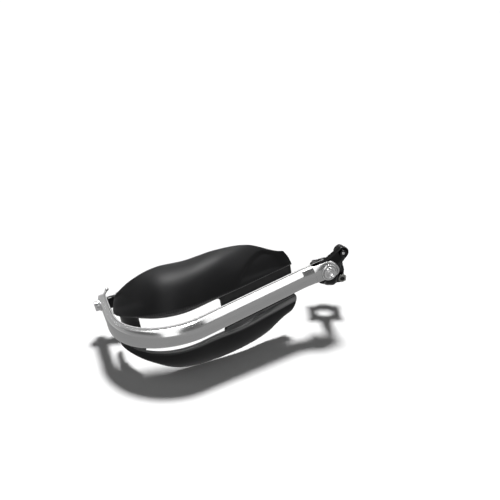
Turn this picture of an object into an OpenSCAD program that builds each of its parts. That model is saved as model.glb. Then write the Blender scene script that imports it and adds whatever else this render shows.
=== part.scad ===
// Motorcycle hand guard with a bent tube bow, a moulded shell, a bar end anchor and a handlebar clamp.
// Right hand guard. Origin at the middle of the handlebar clamp bore.
// +X points to the middle of the motorcycle, +Y to the rider, +Z up. The bow lies level.

/* [Output] */
// Piece to draw

/* [Bow] */
// Outside diameter of the tube
tube_d = 20; // [14:0.5:30]
// Wall thickness of the tube
tube_wall = 3; // [1.5:0.5:6]
// Length of the straight run between the two bends
straight_length = 119; // [60:1:200]
// Radius of the large outer bend, on the tube axis
bend_radius = 64; // [45:1:120]
// Angle of the large outer bend
bend_angle = 104; // [70:1:130]
// Length of the pressed leg behind the large bend
leg_length = 55; // [25:1:100]
// Thickness of the pressed leg at its end
leg_thickness = 9; // [7:0.5:14]
// Height of the pressed leg at its end
leg_height = 18.5; // [16:0.5:36]
// Angle of the large bend at which the pressing starts
press_start = 12; // [10:1:60]
// Angle of the small inner bend
fork_angle = 15; // [0:1:40]
// Downward slope of the fork, negative where it rises
fork_slope = -5.5; // [-10:0.5:10]
// Distance from the small bend to the fork bolt
fork_length = 28.5; // [22:1:60]
// Thickness of the fork over its milled flats
fork_thickness = 17; // [14:0.5:24]
// Depth of the fork slot behind the bolt
fork_slot_depth = 14; // [11:1:20]
// Height of the round fork end
fork_height = 22; // [20.5:0.5:28]
// Radius of the small inner bend, on the tube axis
fork_bend_radius = 24; // [16:1:40]

/* [Fork pivot] */
// Diameter of the fork bolt
fork_bolt_d = 8; // [5:0.5:10]
// Head diameter of the fork bolt
fork_head_d = 13; // [10:0.5:16]
// Head height of the fork bolt
fork_head_h = 4; // [2:0.5:8]
// Diameter of the cup washer
cup_d = 17.4; // [14:0.2:24]
// Thickness of the cup washer
cup_h = 1.8; // [1:0.2:4]
// Diameter of the domed nut
dome_nut_d = 14; // [12:0.5:20]
// Height of the domed nut
dome_nut_h = 8; // [5:0.5:14]
// Hexagon socket across the flats
socket_af = 5; // [3:0.5:8]

/* [Link] */
// Thickness of the link plate
link_thickness = 6; // [5:0.5:10]
// Width of the link plate at the fork bolt
link_width = 19; // [16:0.5:28]
// Width of the link plate at the link bolt
link_end_width = 13.5; // [12:0.5:24]
// Distance between the two link holes
link_pitch = 24.5; // [22:0.5:50]
// Angle of the link above the fork axis
link_angle = 28; // [20:1:70]
// Diameter of the link bolt
link_bolt_d = 5; // [4:0.5:8]
// Head diameter of the link bolt
link_head_d = 8; // [7:0.5:11]
// Head height of the link bolt
link_head_h = 2.5; // [2:0.5:4]

/* [Clamp arm] */
// Thickness of the eye behind the link
eye_thickness = 5; // [5:0.5:12]
// Distance from the link bolt to the clamp bore
arm_length = 54; // [48:1:90]
// Turn of the clamp bore away from the link, about the upright
arm_yaw = 76; // [50:1:90]
// Dip of the clamp bore below the link
arm_dip = 48; // [30:1:60]
// Distance from the elbow to the clamp bore
elbow_run = 25; // [20:1:40]
// Width of the arm bar
arm_width = 12; // [9:0.5:14]
// Thickness of the arm bar
arm_thickness = 10; // [8:0.5:12]
// Edge radius of the arm bar
arm_edge = 2.5; // [1:0.5:4]

/* [Handlebar clamp] */
// Bore of the clamp for the handlebar
bar_d = 22.2; // [18:0.1:32]
// Wall of the clamp round the bore
clamp_wall = 4.5; // [3:0.5:8]
// Width of the clamp along the handlebar
clamp_width = 16; // [12:1:30]
// Gap between the two clamp halves
clamp_split = 1.6; // [0.8:0.2:4]
// Distance of each clamp bolt from the bore axis
clamp_bolt_offset = 15; // [14.5:0.5:22]
// Diameter of the clamp bolts
clamp_bolt_d = 5; // [4:0.5:6]
// Head diameter of the clamp bolts
clamp_head_d = 8; // [7:0.5:9]
// Head height of the clamp bolts
clamp_head_h = 4; // [3:0.5:8]
// Thickness of each clamp ear
ear_thickness = 11.5; // [10:0.5:16]
// Height of the clamp nuts
clamp_nut_h = 3.5; // [3:0.5:6]
// Turn of the clamp about the upright
clamp_yaw = 54; // [30:1:80]
// Dip of the clamp below level, negative where it rises
clamp_dip = -7; // [-20:1:20]
// Roll of the clamp about the arm bar
clamp_roll = 8; // [-30:1:30]

/* [Shell] */
// Wall thickness of the moulded shell
shell_wall = 3; // [2:0.25:5]
// Distance of the inner shell edge past the small bend, back along the straight run
shell_inset = 4; // [2:1:20]
// Angle of the large bend that the shell covers
shell_wrap = 95; // [80:1:100]
// Height of the upper rim at its highest station
upper_height = 50; // [40:1:70]
// Depth of the lower rim at its lowest station
lower_height = 50.5; // [38:1:70]
// Bulge of the upper wing
upper_bulge = 9; // [2:0.5:14]
// Bulge of the lower wing
lower_bulge = 3; // [0:0.5:8]
// Gap between the bow and the web of the shell
web_gap = 0.3; // [0.1:0.1:2]
// Upper edge of the recess behind the bow
recess_top = 16; // [13:0.5:24]
// Lower edge of the recess behind the bow
recess_bottom = 20; // [13:0.5:24]
// Deepest undercut of the recess below the brow
recess_undercut = 2.5; // [0:0.25:4]

/* [Shell openings] */
// Distance from the small bend to the inner end of the long window
window_start = 91; // [80:1:105]
// Angle of the large bend at which the long window ends
window_end = 60; // [45:1:68]
// Corner radius of the long window
window_corner = 5; // [2:0.5:10]
// Distance left between the window and the recess edges
window_margin = 1; // [0.5:0.25:3]
// Angle of the large bend at the middle of the small window
vent_angle = 80; // [76:1:84]
// Width of the small window
vent_width = 11; // [6:0.5:14]
// Height of the small window
vent_height = 22; // [12:1:26]

/* [Shell screws] */
// Diameter of the shell screws
screw_d = 5; // [3:0.5:6]
// Length of the shell screws under the head
screw_length = 9; // [7:0.5:12]
// Head diameter of the shell screws
screw_head_d = 9; // [7:0.5:12]
// Head height of the shell screws
screw_head_h = 2.8; // [2:0.2:4]
// Diameter of the shell washers
washer_d = 13; // [10:0.5:18]
// Thickness of the shell washers
washer_h = 1.2; // [0.6:0.2:2]
// Distance of the first screw from the small bend
screw_first = 16; // [10:1:22]
// Spacing of the three screws
screw_pitch = 32; // [20:1:34]

/* [Bar end] */
// Distance of the bar end bolt from the end of the leg
bar_end_inset = 12; // [9:1:24]
// Diameter of the bar end bolt
bar_bolt_d = 8; // [6:0.5:10]
// Head diameter of the bar end bolt
bar_head_d = 10.5; // [10:0.5:16]
// Head height of the bar end bolt
bar_head_h = 4.5; // [4:0.5:10]
// Diameter of the bar end washer
bar_washer_d = 13; // [12:0.5:18]
// Thickness of the bar end washer
bar_washer_h = 1.2; // [0.8:0.2:3]
// Diameter of the bar end spacer
spacer_d = 13; // [12:0.5:22]
// Length of the bar end spacer
spacer_length = 10; // [5:1:30]
// Outside diameter of the slotted sleeve
sleeve_d = 16; // [14:0.5:18]
// Length of the slotted sleeve
sleeve_length = 26; // [18:1:45]
// Length of the taper nut
cone_length = 12; // [8:1:20]
// Width of the slots in the sleeve
sleeve_slot = 2; // [1:0.25:3]
// Diameter of the lock pin
pin_d = 2.6; // [2:0.2:4]
// Length of the lock pin
pin_length = 11.5; // [9:0.5:18]
// Angle of the lock pin above the bar end axis
pin_rise = 51; // [40:1:60]
// Diameter of the knob on the lock pin
knob_d = 4; // [3.6:0.2:6]

/* [Clearances] */
// Gap round each bolt in its hole
hole_gap = 0.2; // [0.1:0.05:0.5]
// Gap on each side of the link in the fork slot
slot_gap = 0.15; // [0.1:0.05:0.5]
// Gap where one piece is seated in another
seat_gap = 0.05; // [0.02:0.01:0.2]

/* [Hidden] */
$fn = 48;
eps = 0.01;
tube_r = tube_d / 2;
web_front = tube_r + web_gap;
web_back = web_front + shell_wall;
slot_width = link_thickness + 2 * slot_gap;
fork_half = fork_thickness / 2;
shell_run = straight_length - shell_inset;
arc_run = bend_radius * shell_wrap * PI / 180;
shell_total = shell_run + arc_run;
shell_steps = 40;
upper_steps = 9;
lower_steps = 7;
loft_steps = 22;
hollow_steps = 15;
loft_sides = 36;
pin_reach = 4;
pin_seat = 3.5;
bend_swell = 0.04;
leg_lap = 0.6;
taper_lap = 0.06;
bend_lap = 0.5;
clamp_r = bar_d / 2 + clamp_wall;
ear_half = clamp_bolt_offset + clamp_bolt_d / 2 + 1.5;
elbow_swell = 0.4;
round_inset = bar_end_inset - leg_height / 2;
head_socket = 2.6;
boss_run = bar_washer_h + leg_thickness + spacer_length + sleeve_length;
fork_dir = [cos(fork_angle) * cos(fork_slope), -sin(fork_angle) * cos(fork_slope), -sin(fork_slope)];
fork_side = [sin(fork_angle), cos(fork_angle), 0];
fork_up = cross(fork_dir, fork_side);
bow_shift = straight_length / 2;
fork_bend = acos(cos(fork_angle) * cos(fork_slope));
fork_tilt = atan2(sin(fork_slope), sin(fork_angle) * cos(fork_slope));
fork_run = fork_bend_radius * tan(fork_bend / 2);
fork_pivot = [bow_shift, 0, 0] + fork_length * fork_dir;
link_end = fork_pivot + link_pitch * (cos(link_angle) * fork_dir + sin(link_angle) * fork_up);
arm_dir = [cos(arm_dip) * cos(arm_yaw), cos(arm_dip) * sin(arm_yaw), -sin(arm_dip)];
eye_mid = link_thickness / 2 + slot_gap + eye_thickness / 2;
arm_start = link_end + eye_mid * fork_side;
clamp_centre = arm_start + arm_length * arm_dir;
leg_dir = [-cos(bend_angle), sin(bend_angle), 0];
leg_side = [sin(bend_angle), cos(bend_angle), 0];
leg_start = [-bow_shift - bend_radius * sin(bend_angle), bend_radius * (1 - cos(bend_angle)), 0];
bar_end = leg_start + (leg_length - bar_end_inset) * leg_dir;
clamp_dir = [cos(clamp_dip) * cos(clamp_yaw), cos(clamp_dip) * sin(clamp_yaw), -sin(clamp_dip)];
elbow = clamp_centre - elbow_run * clamp_dir;

// Value of a row of control points at a place between 0 and 1, as a smooth curve
function pick(list, i) = list[max(0, min(len(list) - 1, i))];
function smooth_mid(a, b, c, d, t) = 0.5 * (2 * b + (c - a) * t + (2 * a - 5 * b + 4 * c - d) * t * t
    + (3 * b - a - 3 * c + d) * t * t * t);
function curve_at(list, s) = let(u = s * (len(list) - 1), i = min(floor(u), len(list) - 2), t = u - i)
    smooth_mid(pick(list, i - 1), pick(list, i), pick(list, i + 1), pick(list, i + 2), t);

// Angle round the large bend at a distance along the shell
function wrap_at(s) = max(0, s * shell_total - shell_run) / arc_run * shell_wrap;

// Place beside the bow: a distance along the shell, a depth behind the bow axis and a height
function beside(s, w, z) = let(d = s * shell_total, t = wrap_at(s))
    d <= shell_run ? [bow_shift - shell_inset - d, w, z]
    : [-bow_shift - (bend_radius - w) * sin(t), bend_radius - (bend_radius - w) * cos(t), z];

// Control rows of the shell from the inner end to the outer end
crest_depth = [7.6, 3, 1.4, 3.6, 4.6, 4.5, 2.8];
crest_height = [16.8, 19.4, 20.4, 21.7, 22.7, 19.7, 15.2];
brow_depth = [6.6, 3, -0.8, 0.4, 1.3, 2.3, 4];
brow_height = [-23.3, -21.9, -20.3, -18.2, -18.9, -18.1, -15.4];
upper_back = [10.5, 25.7, 40, 52, 62.5, 68, 77];
upper_side = [7, 1, -7, -13, -19.5, -20.3, -10.6];
upper_share = [0.68, 0.96, 0.99, 0.93, 0.94, 0.82, 0.54];
lower_back = [12.4, 10.8, 9.4, 13.2, 19.8, 30.6, 59];
lower_side = [11, 3.6, -2.7, -5.2, -6.5, -7.3, -2.9];
lower_share = [0.8, 0.97, 1, 1, 0.9, 0.6, 0.4];
upper_swell = [0.3, 0.5, 1, 1.07, 0.81, 0.17, 0.26];

function upper_rim(s) = let(p = beside(s, 0, 0))
    [p[0] - curve_at(upper_side, s), curve_at(upper_back, s), upper_height * curve_at(upper_share, s)];
function lower_rim(s) = let(p = beside(s, 0, 0))
    [p[0] - curve_at(lower_side, s), curve_at(lower_back, s), -lower_height * curve_at(lower_share, s)];
function front_dir(s) = let(t = wrap_at(s)) [-sin(t), -cos(t), 0];
function wing(a, b, v, push) = a + (b - a) * v + push * 4 * v * (1 - v);

// Front face of the shell at one station, from the upper rim to the lower rim
function section(s) = let(
    crest = beside(s, curve_at(crest_depth, s), curve_at(crest_height, s)),
    brow = beside(s, curve_at(brow_depth, s), curve_at(brow_height, s)),
    top = upper_rim(s), low = lower_rim(s),
    up = upper_bulge * curve_at(upper_swell, s) * (0.6 * front_dir(s) + [0, 0, 0.8]),
    down = lower_bulge * (0.9 * front_dir(s) - [0, 0, 0.4]))
    concat(
        [for (k = [0:upper_steps - 1]) wing(top, crest, k / upper_steps, up)],
        [crest],
        [beside(s, max(web_front * 0.65, curve_at(crest_depth, s) + 0.8), min(recess_top + 1.2, crest[2] - 1)),
         beside(s, web_front, min(recess_top, crest[2] - 1.5)),
         beside(s, web_front, washer_d / 2 + 2),
         beside(s, web_front, -washer_d / 2 - 2),
         beside(s, web_front, max(-recess_bottom, brow[2] - recess_undercut)),
         beside(s, max(web_front * 0.6, curve_at(brow_depth, s) + 0.8), max(-recess_bottom, brow[2] - 1))],
        [for (k = [0:lower_steps]) wing(brow, low, k / lower_steps, down)]);

function unit(v) = v / max(norm(v), eps);
function turn(a, b) = unit(cross(a, b));

// Closed solid between the front face and the same face moved in by the wall
module shell_body() {
    front = [for (i = [0:shell_steps]) section(i / shell_steps)];
    n = shell_steps + 1;
    m = len(front[0]);
    function at(i, j) = front[max(0, min(n - 1, i))][max(0, min(m - 1, j))];
    function out(i, j) = unit(
        turn(at(i + 1, j) - at(i - 1, j), at(i, j + 1) - at(i, j)) * (j < m - 1 ? 1 : 0)
        + turn(at(i + 1, j) - at(i - 1, j), at(i, j) - at(i, j - 1)) * (j > 0 ? 1 : 0));
    back = [for (i = [0:n - 1]) [for (j = [0:m - 1]) front[i][j] - shell_wall * out(i, j)]];
    points = concat([for (r = front) each r], [for (r = back) each r]);
    half = n * m;
    cells = [for (i = [0:n - 2]) for (j = [0:m - 2]) i * m + j];
    face_front = [for (c = cells) each [[c, c + 1, c + m], [c + 1, c + m + 1, c + m]]];
    face_back = [for (c = cells) each [[half + c, half + c + m, half + c + 1],
        [half + c + 1, half + c + m, half + c + m + 1]]];
    rim_top = [for (i = [0:n - 2]) let(a = i * m) each [[a, a + m, half + a], [a + m, half + a + m, half + a]]];
    rim_low = [for (i = [0:n - 2]) let(a = i * m + m - 1)
        each [[a, half + a, a + m], [a + m, half + a, half + a + m]]];
    end_in = [for (j = [0:m - 2]) each [[j, half + j, j + 1], [j + 1, half + j, half + j + 1]]];
    end_out = [for (j = [0:m - 2]) let(a = (n - 1) * m + j)
        each [[a, a + 1, half + a], [a + 1, half + a + 1, half + a]]];
    polyhedron(points = points, convexity = 8,
        faces = concat(face_front, face_back, rim_top, rim_low, end_in, end_out));
}

module from_clamp() {
    translate(-clamp_centre) children();
}

// Frame of the fork: X along the fork, Y through the cheeks to the rear, Z up
module at_fork() {
    translate([bow_shift, 0, 0]) rotate([0, fork_slope, -fork_angle]) translate([fork_length, 0, 0]) children();
}

// Frame of the link: X from the fork bolt to the link bolt
module at_link() {
    at_fork() rotate([0, -link_angle, 0]) children();
}

// Frame of the clamp: X away from the arm, Z along the bore
module at_clamp() {
    translate(clamp_centre) rotate([clamp_roll, clamp_dip, clamp_yaw]) children();
}

// Frame of the bar end bolt: Z from the outside of the leg to the handlebar
module at_bar_end() {
    translate(bar_end) rotate([0, 0, 90 - bend_angle]) rotate([90, 0, 90]) children();
}

// Frame of the lock pin: Z out of the upper inner edge of the leg
module at_pin() {
    at_bar_end() translate([round_inset + pin_reach, pin_seat, -0.5]) rotate([-pin_rise, 0, 0]) children();
}

// Round bar along Y from one depth to another
module y_rod(d, y0, y1) {
    translate([0, y1, 0]) rotate([90, 0, 0]) cylinder(h = y1 - y0, d = d);
}

// Rectangle with rounded corners from circles and squares
module soft_rectangle(w, h, r) {
    square([w, h - 2 * r], center = true);
    square([w - 2 * r, h], center = true);
    for (x = [-1, 1], y = [-1, 1]) translate([x * (w / 2 - r), y * (h / 2 - r)]) circle(r);
}

// Flat bar with a wide and a narrow round end
module taper_shape(pitch, w0, w1) {
    g = acos((w0 - w1) / 2 / pitch);
    r0 = w0 / 2 - taper_lap;
    r1 = w1 / 2 - taper_lap;
    circle(d = w0);
    translate([pitch, 0]) circle(d = w1);
    polygon([[r0 * cos(g), r0 * sin(g)], [r0 * cos(g), -r0 * sin(g)],
        [pitch + r1 * cos(g), -r1 * sin(g)], [pitch + r1 * cos(g), r1 * sin(g)]]);
}

// Place at one point with Z towards another
module aim(a, b) {
    d = b - a;
    translate(a) rotate([0, acos(d[2] / norm(d)), atan2(d[1], d[0])]) children();
}

// Ring of the pressed leg: a place between 0 and 1 and an inset from the outside
function press_share(t) = max(0, min(1, t));
function leg_ring(u, inset) = let(
    start = press_start - leg_lap,
    arc = (bend_angle - start) * PI / 180 * bend_radius,
    d = u * (arc + leg_length),
    t = start + min(1, d / arc) * (bend_angle - start),
    run = max(0, d - arc),
    q = press_share(d / (arc + leg_length * 0.1)),
    a = (1 - q) * tube_r + q * leg_thickness / 2 - inset,
    b = (1 - q) * tube_r + q * leg_height / 2 - inset,
    k = 1 - 0.7 * q,
    c = [-bow_shift - bend_radius * sin(t), bend_radius * (1 - cos(t)), 0] + run * leg_dir,
    side = [sin(t), cos(t), 0])
    [for (j = [0:loft_sides - 1]) let(g = j * 360 / loft_sides, x = cos(g), z = sin(g))
        c + side * a * sign(x) * pow(abs(x), k) + [0, 0, b * sign(z) * pow(abs(z), k + 0.5 * q)]];

// Closed tube between outer rings and fewer inner rings, open at the first ring
module hollow_loft(rings, inner) {
    n = len(rings);
    m = len(rings[0]);
    k = len(inner);
    base = n * m;
    walls = [for (i = [0:n - 2]) for (j = [0:m - 1]) let(a = i * m + j, b = i * m + (j + 1) % m)
        each [[a, b, a + m], [b, b + m, a + m]]];
    inside = [for (i = [0:k - 2]) for (j = [0:m - 1]) let(a = base + i * m + j, b = base + i * m + (j + 1) % m)
        each [[a, a + m, b], [b, a + m, b + m]]];
    mouth = [for (j = [0:m - 1]) let(a = j, b = (j + 1) % m) each [[a, base + a, b], [b, base + a, base + b]]];
    polyhedron(points = concat([for (r = rings) each r], [for (r = inner) each r]), convexity = 6,
        faces = concat(walls, inside, mouth, [[for (j = [0:m - 1]) (n - 1) * m + j]],
            [[for (j = [m - 1:-1:0]) base + (k - 1) * m + j]]));
}

// Pressed leg with its closed end
module pressed_leg() {
    difference() {
        hollow_loft([for (i = [0:loft_steps]) leg_ring(i / loft_steps, 0)],
            [for (i = [0:hollow_steps]) leg_ring(i / loft_steps, tube_wall - 2.5 * bend_swell)]);
        at_bar_end() cylinder(h = tube_d * 2, d = bar_bolt_d + 2 * hole_gap, center = true);
        at_bar_end() translate([round_inset, 0, 0]) difference() {
            translate([0, -tube_d, -tube_d]) cube(tube_d * 2);
            cylinder(h = tube_d * 5, d = leg_height, center = true);
        }
        at_pin() cylinder(h = tube_d, d = pin_d + 2 * seat_gap);
    }
}

module bend_sector(r0) {
    translate([-bow_shift, bend_radius, 0]) rotate([0, 0, -90 - press_start])
        rotate_extrude(angle = press_start) translate([bend_radius, 0]) circle(r0);
}

module small_bend() {
    rotate([fork_tilt, 0, 0]) translate([bow_shift - fork_run, -fork_bend_radius, 0]) rotate([0, 0, 90 - fork_bend])
        rotate_extrude(angle = fork_bend) translate([fork_bend_radius, 0]) circle(tube_r + bend_swell);
}

// Slotted fork with milled flats and a round end
module fork_end() {
    difference() {
        union() {
            translate([fork_run - bend_lap - fork_length, 0, 0]) rotate([0, 90, 0])
            cylinder(h = fork_length - fork_run + bend_lap, r = tube_r);
            y_rod(fork_height, -fork_half, fork_half);
        }
        for (y = [-1, 1]) translate([tube_r / 2 - fork_slot_depth, y * (fork_half + tube_r) - tube_r, -tube_d])
            cube([tube_d * 2, tube_d, tube_d * 2]);
        translate([-fork_slot_depth, -slot_width / 2, -tube_d]) cube([tube_d * 2, slot_width, tube_d * 2]);
        y_rod(fork_bolt_d + 2 * hole_gap, -tube_d, tube_d);
    }
}

// Tube bow: slotted fork, small bend, straight run, large bend and pressed leg
module bow() {
    color("silver") from_clamp() {
        difference() {
            union() {
                translate([-bow_shift - bend_lap, 0, 0]) rotate([0, 90, 0])
                    cylinder(h = straight_length - fork_run + 2 * bend_lap, r = tube_r);
                bend_sector(tube_r + bend_swell);
            }
            translate([-bow_shift, 0, 0]) rotate([0, 90, 0])
                cylinder(h = straight_length - fork_run - 4, r = tube_r - tube_wall);
            bend_sector(tube_r - tube_wall + bend_swell);
            for (k = [0:2]) translate([bow_shift - screw_first - k * screw_pitch, 0, 0])
                y_rod(screw_d + 2 * seat_gap, 1, tube_d);
        }
        small_bend();
        at_fork() fork_end();
        pressed_leg();
    }
}

// Bright cup washer under the fork bolt
module fork_washer() {
    color("gainsboro") from_clamp() at_fork() translate([0, -fork_half, 0]) rotate([90, 0, 0])
        rotate_extrude() polygon([[fork_bolt_d / 2 + hole_gap, 0], [cup_d / 2, 0], [cup_d / 2, cup_h * 0.6],
            [cup_d / 2 - 0.6, cup_h], [fork_head_d / 2 + 0.5, cup_h], [fork_head_d / 2 + 0.2, cup_h * 0.55],
            [fork_bolt_d / 2 + hole_gap, cup_h * 0.55]]);
}

// Socket head bolt through the fork and the link
module fork_bolt() {
    seat = fork_half + cup_h * 0.55;
    color("gainsboro") from_clamp() at_fork() difference() {
        rotate([90, 0, 0]) union() {
            translate([0, 0, seat]) cylinder(h = fork_head_h - 1, d = fork_head_d);
            translate([0, 0, seat + fork_head_h - 1]) cylinder(h = 1, d1 = fork_head_d, d2 = fork_head_d - 2);
            translate([0, 0, -fork_half - dome_nut_h + 2]) cylinder(h = seat + fork_half + dome_nut_h - 1.5,
                d = fork_bolt_d);
        }
        translate([0, -seat - fork_head_h + head_socket, 0]) rotate([90, 0, 0])
            cylinder(h = fork_head_h, d = socket_af / cos(30), $fn = 6);
    }
}

// Domed nut behind the fork
module fork_nut() {
    bore = fork_bolt_d / 2 + seat_gap;
    color("black") from_clamp() at_fork() translate([0, fork_half, 0]) rotate([-90, 0, 0])
        rotate_extrude() polygon([[bore, 0], [dome_nut_d / 2, 0], [dome_nut_d / 2, dome_nut_h * 0.55],
            [dome_nut_d / 2 - 0.8, dome_nut_h * 0.78], [dome_nut_d / 2 - 2.4, dome_nut_h * 0.93],
            [0, dome_nut_h], [0, dome_nut_h - 1.8], [bore, dome_nut_h - 1.8]]);
}

// Black link plate between the fork and the clamp arm
module link() {
    color("black") from_clamp() at_link() difference() {
        rotate([90, 0, 0]) linear_extrude(link_thickness, center = true)
            taper_shape(link_pitch, link_width, link_end_width);
        y_rod(fork_bolt_d + 2 * hole_gap, -link_thickness, link_thickness);
        translate([link_pitch, 0, 0]) {
            y_rod(link_bolt_d + 2 * hole_gap, -link_thickness, link_thickness);
            y_rod(link_head_d + 2 * hole_gap, -link_thickness, -link_thickness / 2 + link_head_h / 2);
        }
    }
}

// Small bolt that clamps the arm to the link
module link_bolt() {
    seat = link_thickness / 2 - link_head_h / 2;
    color("gainsboro") from_clamp() at_link() translate([link_pitch, 0, 0]) difference() {
        rotate([90, 0, 0]) union() {
            translate([0, 0, seat]) cylinder(h = link_head_h - 0.8, d = link_head_d);
            translate([0, 0, seat + link_head_h - 0.8]) cylinder(h = 0.8, d1 = link_head_d, d2 = link_head_d - 1.6);
            translate([0, 0, -link_thickness / 2 - eye_thickness + 1.5])
                cylinder(h = seat + link_thickness / 2 + eye_thickness - 1, d = link_bolt_d);
        }
        translate([0, -seat - link_head_h + 1.8, 0]) rotate([90, 0, 0])
            cylinder(h = link_head_h, d = 4 / cos(30), $fn = 6);
    }
}

// Half of the handlebar clamp on the side of negative X
module clamp_half() {
    difference() {
        union() {
            intersection() {
                cylinder(h = clamp_width, r = clamp_r, center = true);
                translate([-clamp_r * 2 - clamp_split / 2, -clamp_r * 2, -clamp_width])
                    cube([clamp_r * 2, clamp_r * 4, clamp_width * 2]);
            }
            translate([-ear_thickness - clamp_split / 2, -ear_half, -clamp_width / 2])
                cube([ear_thickness, ear_half * 2, clamp_width]);
        }
        cylinder(h = clamp_width * 2, d = bar_d, center = true);
        for (y = [-1, 1]) translate([-clamp_r * 2, y * clamp_bolt_offset, 0]) rotate([0, 90, 0])
            cylinder(h = clamp_r * 3, d = clamp_bolt_d + 2 * hole_gap);
    }
}

// Black arm: eye block, bar and the near half of the clamp
module arm() {
    color("black") from_clamp() difference() {
        union() {
            at_link() translate([link_pitch, 0, 0])
                y_rod(link_end_width - 1, eye_mid - eye_thickness / 2, eye_mid + eye_thickness / 2);
            aim(arm_start, elbow) linear_extrude(norm(elbow - arm_start)) soft_rectangle(arm_thickness, arm_width, arm_edge);
            translate(elbow) sphere(d = arm_width + elbow_swell);
            at_clamp() {
                translate([-elbow_run, 0, 0]) rotate([90, 0, 90])
                    linear_extrude(elbow_run - bar_d / 2 - 1) soft_rectangle(arm_width, arm_thickness, arm_edge);
                clamp_half();
            }
        }
        at_link() translate([link_pitch, 0, 0])
            y_rod(link_bolt_d + 2 * seat_gap, 0, eye_mid + eye_thickness / 2 - 1);
        at_link() translate([link_pitch, 0, 0])
            y_rod(link_end_width * 3, -eye_thickness, eye_mid - eye_thickness / 2);
    }
}

// Black cap: the far half of the clamp
module clamp_cap() {
    color("black") from_clamp() at_clamp() rotate([0, 0, 180]) clamp_half();
}

// Two bright bolts that close the clamp
module clamp_bolts() {
    top = clamp_split / 2 + ear_thickness;
    color("gainsboro") from_clamp() at_clamp() for (y = [-1, 1]) translate([0, y * clamp_bolt_offset, 0])
        rotate([0, 90, 0]) difference() {
            union() {
                translate([0, 0, top]) cylinder(h = clamp_head_h, d = clamp_head_d);
                translate([0, 0, -top - clamp_nut_h - 1]) cylinder(h = top * 2 + clamp_nut_h + 1.5, d = clamp_bolt_d);
            }
            translate([0, 0, top + clamp_head_h - 2.4]) cylinder(h = 4, d = 4 / cos(30), $fn = 6);
        }
}

// Two nuts behind the ears of the arm
module clamp_nuts() {
    top = clamp_split / 2 + ear_thickness;
    color("dimgray") from_clamp() at_clamp() for (y = [-1, 1]) translate([-top, y * clamp_bolt_offset, 0])
        rotate([0, -90, 0]) difference() {
            cylinder(h = clamp_nut_h, d = clamp_bolt_d * 1.6 / cos(30), $fn = 6);
            translate([0, 0, -1]) cylinder(h = clamp_nut_h + 2, d = clamp_bolt_d + 2 * seat_gap);
        }
}

// Upright outline of the long window
module window_shape(length) {
    top = recess_top - window_margin;
    low = recess_bottom - window_margin;
    translate([0, (top - low) / 2]) soft_rectangle(length, top + low, window_corner);
}

// Cutter of the long window: a straight part, a part round the bend and a closing part
module window_cut() {
    d0 = web_front - 3;
    d1 = web_back + 6;
    top = recess_top - window_margin;
    low = recess_bottom - window_margin;
    run = straight_length - window_start;
    close = 16;
    translate([bow_shift - window_start - run / 2 - 2, d1, 0]) rotate([90, 0, 0])
        linear_extrude(d1 - d0) window_shape(run + 4);
    translate([-bow_shift, bend_radius, 0]) rotate([0, 0, -90 - window_end + 10])
        rotate_extrude(angle = window_end - 10) translate([bend_radius - d1, -low]) square([d1 - d0, top + low]);
    translate([-bow_shift, bend_radius, 0]) rotate([0, 0, -window_end])
        translate([close / 2, -bend_radius + d1, 0]) rotate([90, 0, 0])
        linear_extrude(d1 - d0) window_shape(close);
}

// Cutter of the small window near the outer end
module vent_cut() {
    translate([-bow_shift, bend_radius, 0]) rotate([0, 0, -vent_angle])
        translate([0, -bend_radius + web_back + 8, -1]) rotate([90, 0, 0])
        linear_extrude(14) soft_rectangle(vent_width, vent_height, vent_width / 2 - 0.5);
}

// Moulded shell with two wings, a recess for the bow and two windows
module shell() {
    color([0.12, 0.12, 0.13]) from_clamp() difference() {
        shell_body();
        window_cut();
        vent_cut();
        for (k = [0:2]) translate([bow_shift - screw_first - k * screw_pitch, 0, 0])
            y_rod(screw_d + 2 * hole_gap, web_front - 3, web_back + 3);
    }
}

// Three washers behind the web of the shell
module shell_washers() {
    color("dimgray") from_clamp() for (k = [0:2]) translate([bow_shift - screw_first - k * screw_pitch, 0, 0])
        difference() {
            y_rod(washer_d, web_back + seat_gap, web_back + seat_gap + washer_h);
            y_rod(screw_d + 2 * hole_gap, web_back - 1, web_back + washer_h + 1);
        }
}

// Three button head screws that hold the shell to the bow
module shell_screws() {
    seat = web_back + seat_gap + washer_h;
    color("dimgray") from_clamp() for (k = [0:2]) translate([bow_shift - screw_first - k * screw_pitch, 0, 0])
        difference() {
            union() {
                y_rod(screw_d, seat - screw_length, seat + 0.5);
                translate([0, seat, 0]) rotate([-90, 0, 0]) rotate_extrude()
                    polygon([[0, 0], [screw_head_d / 2, 0], [screw_head_d / 2 - 0.4, screw_head_h * 0.45],
                        [screw_head_d / 2 - 1.6, screw_head_h * 0.85], [screw_head_d / 2 - 2.6, screw_head_h],
                        [0, screw_head_h]]);
            }
            translate([0, seat + screw_head_h - 1.6, 0]) rotate([-90, 0, 0])
                cylinder(h = 4, d = 3 / cos(30), $fn = 6);
        }
}

// Polished bolt through the pressed leg
module bar_end_bolt() {
    seat = -leg_thickness / 2 - bar_washer_h;
    color("gainsboro") from_clamp() at_bar_end() difference() {
        union() {
            translate([0, 0, seat - bar_head_h + 1.2]) cylinder(h = bar_head_h - 1.2, d = bar_head_d);
            translate([0, 0, seat - bar_head_h]) cylinder(h = 1.2, d1 = bar_head_d - 2.4, d2 = bar_head_d);
            translate([0, 0, seat - 0.5]) cylinder(h = boss_run + 0.5 + cone_length - 3, d = bar_bolt_d);
        }
        translate([0, 0, seat - bar_head_h - 1]) cylinder(h = 4.2, d = 6 / cos(30), $fn = 6);
    }
}

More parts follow.
